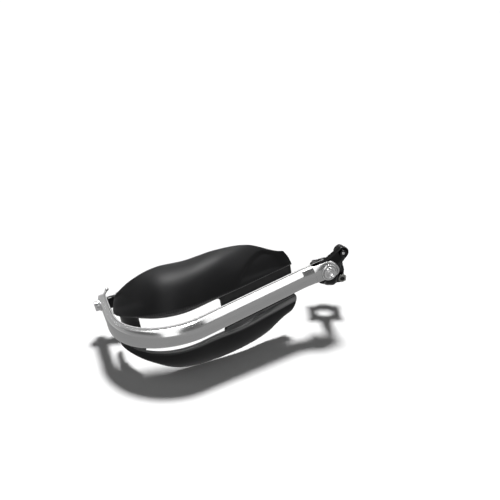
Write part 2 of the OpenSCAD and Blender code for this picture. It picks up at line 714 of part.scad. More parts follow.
// Bright washer between the bolt head and the leg
module bar_end_washer() {
    color("gainsboro") from_clamp() at_bar_end() translate([0, 0, -leg_thickness / 2 - bar_washer_h]) difference() {
        cylinder(h = bar_washer_h, d = bar_washer_d);
        translate([0, 0, -1]) cylinder(h = bar_washer_h + 2, d = bar_bolt_d + 2 * hole_gap);
    }
}

// Black spacer between the leg and the handlebar
module bar_end_spacer() {
    color("black") from_clamp() at_bar_end() translate([0, 0, leg_thickness / 2]) difference() {
        union() {
            cylinder(h = spacer_length - 1.5, d = spacer_d);
            translate([0, 0, spacer_length - 1.5]) cylinder(h = 1.5, d1 = spacer_d, d2 = spacer_d - 3);
        }
        translate([0, 0, -1]) cylinder(h = spacer_length + 2, d = bar_bolt_d + 2 * hole_gap);
    }
}

// Slotted sleeve that spreads in the handlebar
module expander_sleeve() {
    color("dimgray") from_clamp() at_bar_end() translate([0, 0, leg_thickness / 2 + spacer_length]) difference() {
        cylinder(h = sleeve_length, d = sleeve_d);
        translate([0, 0, -1]) cylinder(h = sleeve_length + 2, d = bar_bolt_d + 2 * hole_gap);
        translate([0, 0, sleeve_length - 8]) cylinder(h = 8 + eps, d1 = bar_bolt_d, d2 = sleeve_d - 3);
        for (a = [45, 135]) rotate([0, 0, a]) translate([-sleeve_d, -sleeve_slot / 2, 7])
            cube([sleeve_d * 2, sleeve_slot, sleeve_length]);
    }
}

// Taper nut at the end of the sleeve
module expander_cone() {
    base = leg_thickness / 2 + spacer_length + sleeve_length;
    color("dimgray") from_clamp() at_bar_end() translate([0, 0, base]) difference() {
        union() {
            translate([0, 0, -4]) cylinder(h = 4, d1 = (sleeve_d - 3 + bar_bolt_d) / 2 - 0.3, d2 = sleeve_d - 3.3);
            cylinder(h = cone_length - 4, d = sleeve_d - 3.3);
        }
        translate([0, 0, -5]) cylinder(h = cone_length + 6, d = bar_bolt_d + 2 * seat_gap);
    }
}

// Lock pin with a knob in the end of the leg
module lock_pin() {
    color("gainsboro") from_clamp() at_pin() {
        translate([0, 0, 0.1]) cylinder(h = pin_length - 0.1, d = pin_d);
        translate([0, 0, pin_length]) sphere(d = knob_d);
    }
}

bow();
fork_washer();
fork_bolt();
fork_nut();
link();
link_bolt();
arm();
clamp_cap();
clamp_bolts();
clamp_nuts();
shell();
shell_washers();
shell_screws();
bar_end_bolt();
bar_end_washer();
bar_end_spacer();
expander_sleeve();
expander_cone();
lock_pin();
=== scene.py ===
import math
from math import radians
import bmesh
import bpy
import numpy as np
from mathutils import Matrix, Vector
from mathutils.kdtree import KDTree


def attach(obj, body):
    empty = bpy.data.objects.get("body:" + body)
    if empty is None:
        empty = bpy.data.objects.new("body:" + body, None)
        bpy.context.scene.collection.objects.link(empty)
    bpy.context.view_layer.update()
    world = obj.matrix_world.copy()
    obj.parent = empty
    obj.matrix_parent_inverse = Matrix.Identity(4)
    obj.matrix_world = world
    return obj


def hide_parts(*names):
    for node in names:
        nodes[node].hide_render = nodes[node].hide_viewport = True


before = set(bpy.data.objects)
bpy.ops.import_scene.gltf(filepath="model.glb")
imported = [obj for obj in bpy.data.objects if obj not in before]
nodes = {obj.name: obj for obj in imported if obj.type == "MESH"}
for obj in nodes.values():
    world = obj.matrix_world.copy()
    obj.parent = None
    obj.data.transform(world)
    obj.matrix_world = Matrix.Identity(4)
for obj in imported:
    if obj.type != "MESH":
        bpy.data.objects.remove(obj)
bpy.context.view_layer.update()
scene = bpy.context.scene
mm = 0.001
print("stage: frame loaded")

# camera, found by a fit to the photo, in millimetres from the clamp bore
cameraSpot = {
    "place": (-410.6, -519.0, 349.4),
    "ahead": (0.4690, 0.7740, -0.4253),
    "up": (0.3542, 0.2763, 0.8934),
    "lens": 47.52,
}
camera = bpy.data.objects.new("camera", bpy.data.cameras.new("camera"))
scene.collection.objects.link(camera)
scene.camera = camera
ahead = Vector(cameraSpot["ahead"]).normalized()
side = ahead.cross(Vector(cameraSpot["up"])).normalized()
above = side.cross(ahead)
turn = Matrix((side, above, -ahead)).transposed().to_4x4()
camera.matrix_world = Matrix.Translation(Vector(cameraSpot["place"]) * mm) @ turn
camera.data.lens = cameraSpot["lens"]
camera.data.sensor_width = 36
camera.data.clip_start = 0.01
scene.view_settings.view_transform = "Standard"


def linear(hexColour):
    parts = [int(hexColour[i:i + 2], 16) / 255 for i in (1, 3, 5)]
    return tuple(p / 12.92 if p <= 0.04045 else ((p + 0.055) / 1.055) ** 2.4 for p in parts) + (1,)


def addNode(tree, kind, inputs=None, **settings):
    node = tree.nodes.new(kind)
    for key, value in settings.items():
        setattr(node, key, value)
    for key, value in (inputs or {}).items():
        if isinstance(value, bpy.types.NodeSocket):
            tree.links.new(value, node.inputs[key])
        else:
            node.inputs[key].default_value = value
    return node


cloudSize = 38  # slow change of shade over each surface, in millimetres


# grain under 1 mm is finer than a dot of the photo: there it spreads the shine, and close up it shows
def newMaterial(name, colours, metallic, rough, grainSize, bump, specular=0.5, coat=0.0, stretch=(1, 1, 1),
                edge=0.0):
    material = bpy.data.materials.new(name)
    material.use_nodes = True
    tree = material.node_tree
    surface = tree.nodes["Principled BSDF"]
    place = addNode(tree, "ShaderNodeTexCoord")
    spread = addNode(tree, "ShaderNodeMapping", {"Vector": place.outputs["Object"], "Scale": stretch})
    grain = addNode(tree, "ShaderNodeTexNoise",
                    {"Vector": spread.outputs[0], "Scale": 1 / (grainSize * mm), "Detail": 5.0,
                     "Roughness": 0.6})
    cloud = addNode(tree, "ShaderNodeTexNoise",
                    {"Vector": place.outputs["Object"], "Scale": 1 / (cloudSize * mm), "Detail": 2.0})
    mixed = addNode(tree, "ShaderNodeMath", {0: grain.outputs["Fac"], 1: cloud.outputs["Fac"]},
                    operation="ADD")
    halved = addNode(tree, "ShaderNodeMath", {0: mixed.outputs[0], 1: 0.5}, operation="MULTIPLY")
    tint = addNode(tree, "ShaderNodeMix",
                   {0: halved.outputs[0], 6: linear(colours[0]), 7: linear(colours[1])}, data_type="RGBA")
    gloss = addNode(tree, "ShaderNodeMapRange",
                    {"Value": halved.outputs[0], "To Min": rough[0], "To Max": rough[1]})
    relief = addNode(tree, "ShaderNodeBump",
                     {"Strength": bump, "Distance": 0.0001, "Height": grain.outputs["Fac"]})
    if edge:
        corners = addNode(tree, "ShaderNodeBevel", {"Radius": edge * mm}, samples=4)
        tree.links.new(corners.outputs[0], relief.inputs["Normal"])
    surface.inputs["Metallic"].default_value = metallic
    surface.inputs["Coat Weight"].default_value = coat
    surface.inputs["Coat Roughness"].default_value = 0.05
    surface.inputs["Specular IOR Level"].default_value = specular
    tree.links.new(tint.outputs[2], surface.inputs["Base Color"])
    tree.links.new(gloss.outputs["Result"], surface.inputs["Roughness"])
    tree.links.new(relief.outputs["Normal"], surface.inputs["Normal"])
    return material


finishes = {
    # drawn aluminium tube, lightly polished: soft long bands of light with a clear edge
    "satin": newMaterial("satin_aluminium_polished", ("#c4c4c4", "#d2d2d2"), 1.0, (0.13, 0.2), 0.8, 0.05,
                         stretch=(0.05, 1, 1)),
    # turned and polished steel: hard small lights
    "bright": newMaterial("polished_steel_turned", ("#d8d8d8", "#ececec"), 1.0, (0.08, 0.16), 0.5, 0.05,
                          edge=0.25),
    # zinc plated steel: dull grey with faint spangle
    "zinc": newMaterial("zinc_plated_steel", ("#7e7e7c", "#a4a4a0"), 1.0, (0.28, 0.42), 0.9, 0.15, edge=0.2),
    # gloss black anodised aluminium: deep black with crisp white edges
    "black": newMaterial("black_anodised_gloss", ("#050506", "#09090a"), 0.0, (0.08, 0.14), 0.5, 0.05,
                         specular=0.2, coat=0.12, edge=0.5),
    # black injection moulded plastic with a fine even grain: broad soft sheen
    "plastic": newMaterial("black_moulded_plastic", ("#171718", "#1c1c1d"), 0.0, (0.34, 0.42), 0.35, 0.08,
                           specular=0.16),
    # steel blackened in a hot salt bath: dark with a dull metal shine
    "dark": newMaterial("black_oxide_steel", ("#1a1a1b", "#2a2a2b"), 0.6, (0.2, 0.3), 0.4, 0.08, edge=0.25),
}
# along the crest of each wing and the brow of the lower one the plastic is worn smoother and shinier by
# handling, and its colour is painted paler there as a highlight
paintedSheenAndPolish = {"colour": "#797979", "rough": 0.22, "specular": (0.16, 0.7)}
tree = finishes["plastic"].node_tree
surface = tree.nodes["Principled BSDF"]
sheenAndPolishMask = addNode(tree, "ShaderNodeAttribute", attribute_name="sheenAndPolishMask").outputs["Fac"]
# the mask mixes in the painted highlight colour together with the smoother, shinier finish
mouldedColour = surface.inputs["Base Color"].links[0].from_socket
colour = addNode(tree, "ShaderNodeMix", {0: sheenAndPolishMask, 6: mouldedColour, 7: linear(paintedSheenAndPolish["colour"])},
                 data_type="RGBA")
tree.links.new(colour.outputs[2], surface.inputs["Base Color"])
mouldedRough = surface.inputs["Roughness"].links[0].from_socket
rough = addNode(tree, "ShaderNodeMix", {0: sheenAndPolishMask, 2: mouldedRough, 3: paintedSheenAndPolish["rough"]})
tree.links.new(rough.outputs[0], surface.inputs["Roughness"])
shine = addNode(tree, "ShaderNodeMapRange",
                {"Value": sheenAndPolishMask, "To Min": paintedSheenAndPolish["specular"][0], "To Max": paintedSheenAndPolish["specular"][1]})
tree.links.new(shine.outputs["Result"], surface.inputs["Specular IOR Level"])
print("stage: materials made")

# the bow, in millimetres: the straight run lies along X with its middle at the origin
bow = {
    "tubeR": 10.0, "half": 59.5, "bendR": 64.0, "bendAngle": 104.0, "legLength": 55.0,
    "legThickness": 9.0, "legHeight": 18.5, "pressStart": 12.0, "pressedShare": 0.1, "smallR": 24.0,
    "forkAngle": 15.0, "forkSlope": -5.5, "forkLength": 28.5, "forkThickness": 17.0, "forkHeight": 22.0,
    "forkBarR": 10.25, "seatR": 9.0, "slotDepth": 14.0, "slotHalf": 3.15, "boltHoleR": 4.2,
    "tubeStop": 4.5, "flatSides": 0.66, "flatEdges": 0.2,
}
linkage = {"pitch": 24.5, "angle": 28.0, "thickness": 6.0, "width": 19.0, "endWidth": 13.5, "eye": 5.0,
           "gap": 0.15, "screwHoleR": 2.7, "counterboreR": 4.2, "counterboreFloor": 1.75}
arm = {"length": 54.0, "yaw": 76.0, "dip": 48.0, "elbowRun": 25.0, "elbowBend": 9.0,
       "width": (5.4, 0.6), "thickness": (4.4, 0.5)}
clamp = {"yaw": 54.0, "dip": -7.0, "roll": 8.0, "boreR": 11.1, "wall": 4.5, "width": 16.0, "split": 1.6,
         "boltOffset": 15.0, "boltHoleR": 2.7, "earHalf": 19.0, "ear": 10.2, "earSpread": 10.4}
barEnd = {"inset": 12.0}


def rotation(x, y, z):
    aboutX = Matrix.Rotation(radians(x), 4, "X")
    aboutY = Matrix.Rotation(radians(y), 4, "Y")
    aboutZ = Matrix.Rotation(radians(z), 4, "Z")
    return aboutZ @ aboutY @ aboutX


forkFrame = (Matrix.Translation((bow["half"], 0, 0)) @ rotation(0, bow["forkSlope"], -bow["forkAngle"])
             @ Matrix.Translation((bow["forkLength"], 0, 0)))
linkFrame = forkFrame @ rotation(0, -linkage["angle"], 0)
linkEnd = linkFrame @ Vector((linkage["pitch"], 0, 0))
forkSide = forkFrame.to_3x3() @ Vector((0, 1, 0))
eyeMid = linkage["thickness"] / 2 + linkage["gap"] + linkage["eye"] / 2
armStart = linkEnd + forkSide * eyeMid
armLevel = math.cos(radians(arm["dip"]))
armYaw = radians(arm["yaw"])
armDir = Vector((armLevel * math.cos(armYaw), armLevel * math.sin(armYaw), -math.sin(radians(arm["dip"]))))
clampCentre = armStart + armDir * arm["length"]
clampFrame = Matrix.Translation(clampCentre) @ rotation(clamp["roll"], clamp["dip"], clamp["yaw"])
elbow = clampFrame @ Vector((-arm["elbowRun"], 0, 0))
legAngle = radians(bow["bendAngle"])
legDir = Vector((-math.cos(legAngle), math.sin(legAngle), 0))
legStart = Vector((-bow["half"] - bow["bendR"] * math.sin(legAngle),
                   bow["bendR"] * (1 - math.cos(legAngle)), 0))
barEndPlace = legStart + legDir * (bow["legLength"] - barEnd["inset"])
barEndFrame = (Matrix.Translation(barEndPlace) @ rotation(0, 0, 90 - bow["bendAngle"]) @ rotation(0, 0, 90)
               @ rotation(90, 0, 0))
toScene = Matrix.Scale(mm, 4) @ Matrix.Translation(-clampCentre)


def finishMesh(mesh, soft):
    work = bmesh.new()
    work.from_mesh(mesh)
    bmesh.ops.remove_doubles(work, verts=work.verts, dist=0.000002)
    bmesh.ops.recalc_face_normals(work, faces=work.faces)
    work.to_mesh(mesh)
    work.free()
    mesh.polygons.foreach_set("use_smooth", [True] * len(mesh.polygons))
    mesh.set_sharp_from_angle(angle=radians(soft))


def newPiece(name, points, faces, key, local=None, soft=32):
    mesh = bpy.data.meshes.new(name)
    spot = toScene @ local if local else toScene
    mesh.from_pydata([spot @ Vector(p) for p in points], [], faces)
    finishMesh(mesh, soft)
    piece = bpy.data.objects.new(name, mesh)
    scene.collection.objects.link(piece)
    mesh.materials.append(finishes[key])
    return piece


def settle(piece, soft=32):
    mesh = bpy.data.meshes.new_from_object(piece.evaluated_get(bpy.context.evaluated_depsgraph_get()))
    piece.modifiers.clear()
    piece.data = mesh
    finishMesh(mesh, soft)


def carve(piece, cutters, how="DIFFERENCE", soft=32):
    for cutter in cutters:
        step = piece.modifiers.new("cut", "BOOLEAN")
        step.operation = how
        step.solver = "EXACT"
        step.object = cutter
    settle(piece, soft)
    for cutter in cutters:
        bpy.data.objects.remove(cutter)


def soften(piece, width, steps=2, angle=35, soft=40):
    step = piece.modifiers.new("edge", "BEVEL")
    step.width = width * mm
    step.segments = steps
    step.limit_method = "ANGLE"
    step.angle_limit = radians(angle)
    settle(piece, soft)


def wear(piece, key, *replaced):
    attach(piece, "root")
    for name in replaced:
        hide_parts(name)


def skin(rings, start=True, end=True):
    count = len(rings[0])
    points = [p for ring in rings for p in ring]
    faces = []
    for i in range(len(rings) - 1):
        for j in range(count):
            a, b = i * count + j, i * count + (j + 1) % count
            faces.append((a, b, b + count, a + count))
    if start:
        faces.append(tuple(range(count - 1, -1, -1)))
    if end:
        faces.append(tuple(range((len(rings) - 1) * count, len(rings) * count)))
    return points, faces


# a row of the profile is radius and height, and a third word makes it a hexagon
def turned(profile, steps=64):
    rings = []
    for row in profile:
        r, z = row[0], row[1]
        hexagon = len(row) > 2
        ring = []
        for k in range(steps):
            g = k * 360 / steps
            reach = r / math.cos(radians((g + 30) % 60 - 30)) if hexagon else r
            ring.append((reach * math.cos(radians(g)), reach * math.sin(radians(g)), z))
        rings.append(ring)
    lap = tuple(profile[0]) == tuple(profile[-1])
    return skin(rings, start=profile[0][0] > 0 and not lap, end=profile[-1][0] > 0 and not lap)


# each corner with a size becomes a curve that takes at most 0.45 of either side
def rounded(corners, sizes, steps=5):
    out = []
    for k, corner in enumerate(corners):
        if not sizes[k]:
            out.append(corner)
            continue
        before, after = corners[k - 1], corners[(k + 1) % len(corners)]
        a = corner + (before - corner) * min(0.45, sizes[k] / max(1e-6, (before - corner).length))
        b = corner + (after - corner) * min(0.45, sizes[k] / max(1e-6, (after - corner).length))
        for i in range(steps + 1):
            t = i / steps
            out.append(a * (1 - t) ** 2 + corner * 2 * t * (1 - t) + b * t * t)
    return out


def prism(outline, low, high):
    rings = [[(x, z, y) for x, y in outline] for z in (low, high)]
    return skin(rings)


# bow: one smooth tube that is pressed flat towards its outer end
roundSteps = 72
smallTurn = math.degrees(math.acos(math.cos(radians(bow["forkAngle"])) * math.cos(radians(bow["forkSlope"]))))
smallRun = bow["smallR"] * math.tan(radians(smallTurn / 2))
forkDir = forkFrame.to_3x3() @ Vector((1, 0, 0))
bendPlane = (forkDir - Vector((1, 0, 0)) * forkDir.x).normalized()
fullArc = legAngle * bow["bendR"]
pressFrom = radians(bow["pressStart"]) * bow["bendR"]
pressTo = fullArc + bow["legLength"] * bow["pressedShare"]


# one ring of the tube: q goes from 0, round, to 1, pressed flat
def bowRing(place, outward, up, q, shrink=1.0):
    a = (1 - q) * bow["tubeR"] + q * bow["legThickness"] / 2
    b = ((1 - q) * bow["tubeR"] + q * bow["legHeight"] / 2) * shrink
    powerA, powerB = 1 - bow["flatSides"] * q, 1 - bow["flatEdges"] * q
    ring = []
    for j in range(roundSteps):
        g = j * 2 * math.pi / roundSteps
        x, z = math.cos(g), math.sin(g)
        aside = a * math.copysign(abs(x) ** powerA, x)
        raised = b * math.copysign(abs(z) ** powerB, z)
        ring.append(place + outward * aside + up * raised)
    return ring


upright = Vector((0, 0, 1))
bowRings = []
tubeEnd = bow["forkLength"] - bow["tubeStop"]
for i in range(9):
    d = tubeEnd - (tubeEnd - smallRun) * i / 8
    spot = Vector((bow["half"], 0, 0)) + forkDir * d
    bowRings.append(bowRing(spot, forkSide, forkDir.cross(forkSide), 0))
for i in range(1, 12):
    g = radians(smallTurn) * (1 - i / 12)
    pivot = Vector((bow["half"] - smallRun, 0, 0)) + bendPlane * bow["smallR"]
    spot = pivot - bendPlane * bow["smallR"] * math.cos(g) + Vector((1, 0, 0)) * bow["smallR"] * math.sin(g)
    onward = Vector((1, 0, 0)) * math.cos(g) + bendPlane * math.sin(g)
    outward = (Vector((0, 1, 0)) - onward * onward.y).normalized()
    bowRings.append(bowRing(spot, outward, onward.cross(outward), 0))
for i in range(41):
    x = bow["half"] - smallRun - (2 * bow["half"] - smallRun) * i / 40
    bowRings.append(bowRing(Vector((x, 0, 0)), Vector((0, 1, 0)), upright, 0))
for i in range(1, 91):
    d = fullArc * i / 90
    t = d / bow["bendR"]
    q = max(0.0, min(1.0, (d - pressFrom) / (pressTo - pressFrom)))
    spot = Vector((-bow["half"] - bow["bendR"] * math.sin(t), bow["bendR"] * (1 - math.cos(t)), 0))
    bowRings.append(bowRing(spot, Vector((math.sin(t), math.cos(t), 0)), upright, q))
legSide = Vector((math.sin(legAngle), math.cos(legAngle), 0))
half = bow["legHeight"] / 2
roundCentre = bow["legLength"] - half
pressedRun = bow["legLength"] * bow["pressedShare"]
legSteps = [pressedRun * i / 5 for i in range(1, 6)]
legSteps += [pressedRun + (roundCentre - pressedRun) * i / 20 for i in range(1, 21)]
for d in legSteps:
    q = min(1.0, (fullArc + d - pressFrom) / (pressTo - pressFrom))
    bowRings.append(bowRing(legStart + legDir * d, legSide, upright, q))
for i in range(1, 25):
    g = radians(90 * i / 24)
    d = roundCentre + half * math.sin(g)
    squeeze = max(0.02, math.cos(g))
    thinned = legSide * (1 - 0.25 * (1 - squeeze) ** 3)
    bowRings.append(bowRing(legStart + legDir * d, thinned, upright, 1.0, squeeze))
points, faces = skin(bowRings)
tube = newPiece("bow_tube", points, faces, "satin", soft=50)

# fork: a round bar with a round end, spot faces for the bolt and a slot for the link
forkR = bow["forkHeight"] / 2
outline = [(forkR * math.cos(radians(g)), forkR * math.sin(radians(g))) for g in range(-90, 91, 3)]
outline += [(-9, 10.6), (-15, 10.0), (-15, -10.0), (-9, -10.6)]
points, faces = prism(outline, -10.6, 10.6)
forkPiece = newPiece("bow_fork", points, faces, "satin", forkFrame)


def boxCutter(low, high, local):
    x0, y0, z0 = low
    x1, y1, z1 = high
    corners = [(x0, y0, z0), (x1, y0, z0), (x1, y1, z0), (x0, y1, z0),
               (x0, y0, z1), (x1, y0, z1), (x1, y1, z1), (x0, y1, z1)]
    sides = [(0, 3, 2, 1), (4, 5, 6, 7), (0, 1, 5, 4), (1, 2, 6, 5), (2, 3, 7, 6), (3, 0, 4, 7)]
    return newPiece("cutter", corners, sides, "satin", local)


def rodCutter(r, low, high, local):
    points, faces = turned([(r, low), (r, high)])
    return newPiece("cutter", points, faces, "satin", local)


yUp = rotation(90, 0, 0)


def seats():
    face = bow["forkThickness"] / 2
    return [rodCutter(bow["seatR"], face, 30, forkFrame @ rotation(v, 0, 0)) for v in (90, -90)]


slotLow, slotHigh = (-bow["slotDepth"], -bow["slotHalf"], -30), (30, bow["slotHalf"], 30)
carve(forkPiece, [rodCutter(bow["forkBarR"], -20, 20, forkFrame @ rotation(0, 90, 0))], how="INTERSECT")
boltHole = rodCutter(bow["boltHoleR"], -30, 30, forkFrame @ yUp)
carve(forkPiece, [boxCutter(slotLow, slotHigh, forkFrame), boltHole] + seats())
carve(tube, [boxCutter(slotLow, slotHigh, forkFrame)] + seats(), soft=50)
soften(forkPiece, 0.5)
carve(tube, [rodCutter(bow["boltHoleR"], -30, 30, barEndFrame)], soft=50)
for piece in (tube, forkPiece):
    wear(piece, "satin", "bow")
print("stage: bow made")

# shell: rows of control values from the inner end to the outer end
shell = {
    "inset": 4.0, "wrap": 95.0, "wall": 3.0, "rim": 0.9, "webFront": 10.3, "webHalf": 8.5,
    "recessTop": 16.0, "recessBottom": 20.0, "undercut": 2.5, "ceilingShare": 0.65, "lipShare": 0.6,
    "shoulder": 0.8,
    "crestDepth": (7.6, 3.0, 1.4, 3.6, 4.6, 4.5, 2.8),
    "crestHeight": (16.8, 19.4, 20.4, 21.7, 22.7, 19.2, 13.2),
    "browDepth": (6.6, 3.0, -0.8, 0.4, 1.3, 2.3, 4.0),
    "browHeight": (-23.3, -21.9, -20.3, -18.2, -18.9, -18.1, -15.4),
    "upperBack": (10.5, 25.7, 40.1, 51.9, 62.4, 67.9, 77.1),
    "upperSide": (7.1, 1.0, -7.0, -13.1, -19.5, -20.3, -10.6),
    "upperHeight": (33.8, 48.0, 49.7, 46.5, 46.8, 40.8, 27.0),
    "lowerBack": (12.4, 10.8, 9.4, 13.2, 19.8, 30.6, 59.0),
    "lowerSide": (11.1, 3.6, -2.7, -5.2, -6.5, -7.3, -2.9),
    "lowerHeight": (-40.3, -48.8, -50.3, -50.3, -45.3, -30.3, -20.2),
    "swell": (2.7, 4.5, 9.1, 9.6, 7.3, 1.5, 2.3),
    "lowerBulge": 3.0, "stations": 180, "upperSteps": 30, "lowerSteps": 22,
}
shellRun = 2 * bow["half"] - shell["inset"]
shellArc = bow["bendR"] * radians(shell["wrap"])
shellTotal = shellRun + shellArc


def curveAt(row, s):
    u = s * (len(row) - 1)
    i = min(int(u), len(row) - 2)
    t = u - i
    a, b, c, d = (row[max(0, min(len(row) - 1, i + k))] for k in (-1, 0, 1, 2))
    slope, bend, twist = c - a, 2 * a - 5 * b + 4 * c - d, 3 * b - a - 3 * c + d
    return 0.5 * (2 * b + slope * t + bend * t * t + twist * t ** 3)


def wrapAt(s):
    return max(0.0, s * shellTotal - shellRun) / bow["bendR"]


def beside(s, w, z):
    d = s * shellTotal
    t = wrapAt(s)
    if d <= shellRun:
        return Vector((bow["half"] - shell["inset"] - d, w, z))
    r = bow["bendR"] - w
    return Vector((-bow["half"] - r * math.sin(t), bow["bendR"] - r * math.cos(t), z))


def smooth(v, low, high):
    t = max(0.0, min(1.0, (v - low) / (high - low)))
    return t * t * (3 - 2 * t)


# the step of the upper wing near its inner end and a faint one near its outer end, in shares of the wing
wing = {"run": 221, "height": 50}
steps = (
    {"from": (0.11, 0.2), "towards": (0.25, 0.66), "drop": 2.4, "width": 5.0, "side": 1.0,
     "reach": (0.08, 0.3, 0.8, 1.0)},
    {"from": (0.93, 0.05), "towards": (0.80, 0.6), "drop": 1.2, "width": 7.0, "side": -1.0,
     "reach": (0.0, 0.2, 0.6, 0.85)},
)


def ledge(s, v):
    out = 0.0
    for step in steps:
        ax, ay = step["from"][0] * wing["run"], step["from"][1] * wing["height"]
        dx, dy = step["towards"][0] * wing["run"] - ax, step["towards"][1] * wing["height"] - ay
        size = math.hypot(dx, dy)
        across = ((s * wing["run"] - ax) * -dy + (v * wing["height"] - ay) * dx) / size * step["side"]
        a, b, c, d = step["reach"]
        risen = smooth(across, -0.4 * step["width"], 0.6 * step["width"])
        out += step["drop"] * min(1.0, 0.25 + s / 0.08) * risen * smooth(v, a, b) * (1 - smooth(v, c, d))
    return out


# one row of the outer face: down the upper wing, through the recess, and down the lower wing
def frontRow(s):
    t = wrapAt(s)
    forward = Vector((-math.sin(t), -math.cos(t), 0))
    base = beside(s, 0, 0)
    crest = beside(s, curveAt(shell["crestDepth"], s), curveAt(shell["crestHeight"], s))
    brow = beside(s, curveAt(shell["browDepth"], s), curveAt(shell["browHeight"], s))
    top = Vector((base.x - curveAt(shell["upperSide"], s), curveAt(shell["upperBack"], s),
                  curveAt(shell["upperHeight"], s)))
    low = Vector((base.x - curveAt(shell["lowerSide"], s), curveAt(shell["lowerBack"], s),
                  curveAt(shell["lowerHeight"], s)))
    lean = forward * 0.6 + Vector((0, 0, 0.8))
    up = lean * curveAt(shell["swell"], s)
    down = (forward * 0.9 - Vector((0, 0, 0.4))) * shell["lowerBulge"]
    row = []
    for k in range(shell["upperSteps"]):
        v = k / shell["upperSteps"]
        row.append(top + (crest - top) * v + up * 4 * v * (1 - v) - lean * ledge(s, v))
    row.append(crest)
    web, shoulder = shell["webFront"], shell["shoulder"]
    ceiling = max(web * shell["ceilingShare"], curveAt(shell["crestDepth"], s) + shoulder)
    lip = max(web * shell["lipShare"], curveAt(shell["browDepth"], s) + shoulder)
    row += [beside(s, ceiling, min(shell["recessTop"] + 1.2, crest.z - 1)),
            beside(s, web, min(shell["recessTop"], crest.z - 1.5)),
            beside(s, web, shell["webHalf"]), beside(s, web, 0), beside(s, web, -shell["webHalf"]),
            beside(s, web, max(-shell["recessBottom"], brow.z - shell["undercut"])),
            beside(s, lip, max(-shell["recessBottom"], brow.z - 1))]
    for k in range(shell["lowerSteps"] + 1):
        v = k / shell["lowerSteps"]
        row.append(brow + (low - brow) * v + down * 4 * v * (1 - v))
    return row


count = shell["stations"]
front = np.array([[tuple(p) for p in frontRow(i / count)] for i in range(count + 1)])
ringCount, rowLength = front.shape[0], front.shape[1]


def unit(v):
    return v / np.maximum(np.linalg.norm(v, axis=-1, keepdims=True), 1e-9)


stepAlong = np.empty_like(front)
stepAlong[1:-1] = front[2:] - front[:-2]
stepAlong[0] = front[1] - front[0]
stepAlong[-1] = front[-1] - front[-2]
stepAcross = front[:, 1:] - front[:, :-1]
normals = np.zeros_like(front)
normals[:, :-1] += unit(np.cross(stepAlong[:, :-1], stepAcross))
normals[:, 1:] += unit(np.cross(stepAlong[:, 1:], stepAcross))
normals = unit(normals)
back = front - shell["wall"] * normals
# rounding of the crest, the top and bottom corners of the recess with their lips, and the brow
crestAt = shell["upperSteps"]
browAt = crestAt + 8
sizes = [0.0] * rowLength
for k, size in ((0, 2.0), (1, 0.8), (2, 1.2), (6, 1.2), (7, 1.0), (8, 3.2)):
    sizes[crestAt + k] = size
rimTurns = [radians(v) for v in (30, 60, 90, 120, 150)]
shellRings = []
for i in range(ringCount):
    outer = rounded([Vector(p) for p in front[i]], sizes, 4)
    inner = rounded([Vector(p) for p in back[i]], [min(v, 0.7) for v in sizes], 4)
    rims = []
    for edge, inwards, other in ((outer[-1], outer[-2], inner[-1]), (inner[0], inner[1], outer[0])):
        middle = (edge + other) / 2
        halfWall = (edge - other) / 2
        bulge = (edge - inwards).normalized() * shell["rim"]
        rims.append([middle + halfWall * math.cos(g) + bulge * math.sin(g) for g in rimTurns])
    shellRings.append(outer + rims[0] + list(reversed(inner)) + rims[1])
points, faces = skin(shellRings, start=False, end=False)
frontCount = len(outer)
loopCount = len(shellRings[0])


# the end of the shell, closed between its outer and its inner face
def capFaces(offset):
    innerStart = frontCount + len(rimTurns)
    made = []
    for j in range(frontCount - 1):
        c = innerStart + frontCount - 1 - j
        made.append((offset + j, offset + j + 1, offset + c - 1, offset + c))
    made.append(tuple(offset + v for v in range(frontCount - 1, innerStart + 1)))
    made.append(tuple(offset + v for v in list(range(innerStart + frontCount - 1, loopCount)) + [0]))
    return made


faces += capFaces(0) + capFaces((ringCount - 1) * loopCount)
cover = newPiece("shell_cover", points, faces, "plastic", soft=38)

window = {"start": 91.0, "end": 66.0, "top": 15.0, "low": -23.6, "corner": 5.5, "front": 7.3, "back": 19.3}
vent = {"angle": 80.0, "width": 11.0, "height": 11.0, "middle": -6.5, "corner": 4.5, "front": 7.3,
        "back": 21.3}
shellScrews = {"count": 3, "first": 16, "pitch": 32, "holeR": 2.7}
# lines of painted highlight and smoother plastic on the shell: how wide in millimetres, and how much
sheenAndPolishLines = {"crestWidth": 0.9, "crestLeast": 0.16, "crestMore": 0.12, "browWidth": 2.3,
            "browEnd": (0.2, 0.85)}


def windowCutter():
    startX = bow["half"] - window["start"]
    run = startX + bow["half"]
    arc = radians(window["end"]) * bow["bendR"]
    total = run + arc

    def spot(u, depth, z):
        if u <= run:
            return Vector((startX - u, depth, z))
        t = (u - run) / bow["bendR"]
        r = bow["bendR"] - depth
        return Vector((-bow["half"] - r * math.sin(t), bow["bendR"] - r * math.cos(t), z))

    rings = []
    r = window["corner"]
    ends = [r * (1 - math.cos(radians(g))) for g in range(0, 91, 10)]
    cuts = ends + [r + (total - 2 * r) * i / 60 for i in range(1, 60)] + [total - v for v in reversed(ends)]
    for u in cuts:
        d = min(u, total - u)
        cut = r - math.sqrt(max(0.0, r * r - (r - d) ** 2)) if d < r else 0.0
        top, low = window["top"] - cut, window["low"] + cut
        rings.append([spot(u, window["front"], low), spot(u, window["front"], top),
                      spot(u, window["back"], top), spot(u, window["back"], low)])
    points, faces = skin(rings)
    return newPiece("cutter", points, faces, "plastic")


def ventCutter():
    local = Matrix.Translation((-bow["half"], bow["bendR"], 0)) @ rotation(0, 0, -vent["angle"])
    w, h, r = vent["width"] / 2, vent["height"] / 2, vent["corner"]
    outline = []
    middles = ((w - r, h - r, 0), (-w + r, h - r, 90), (-w + r, -h + r, 180), (w - r, -h + r, 270))
    for cx, cz, first in middles:
        for g in range(first, first + 91, 15):
            outline.append((cx + r * math.cos(radians(g)), cz + r * math.sin(radians(g)) + vent["middle"]))
    points, faces = prism(outline, -bow["bendR"] + vent["front"], -bow["bendR"] + vent["back"])
    return newPiece("cutter", points, faces, "plastic", local)


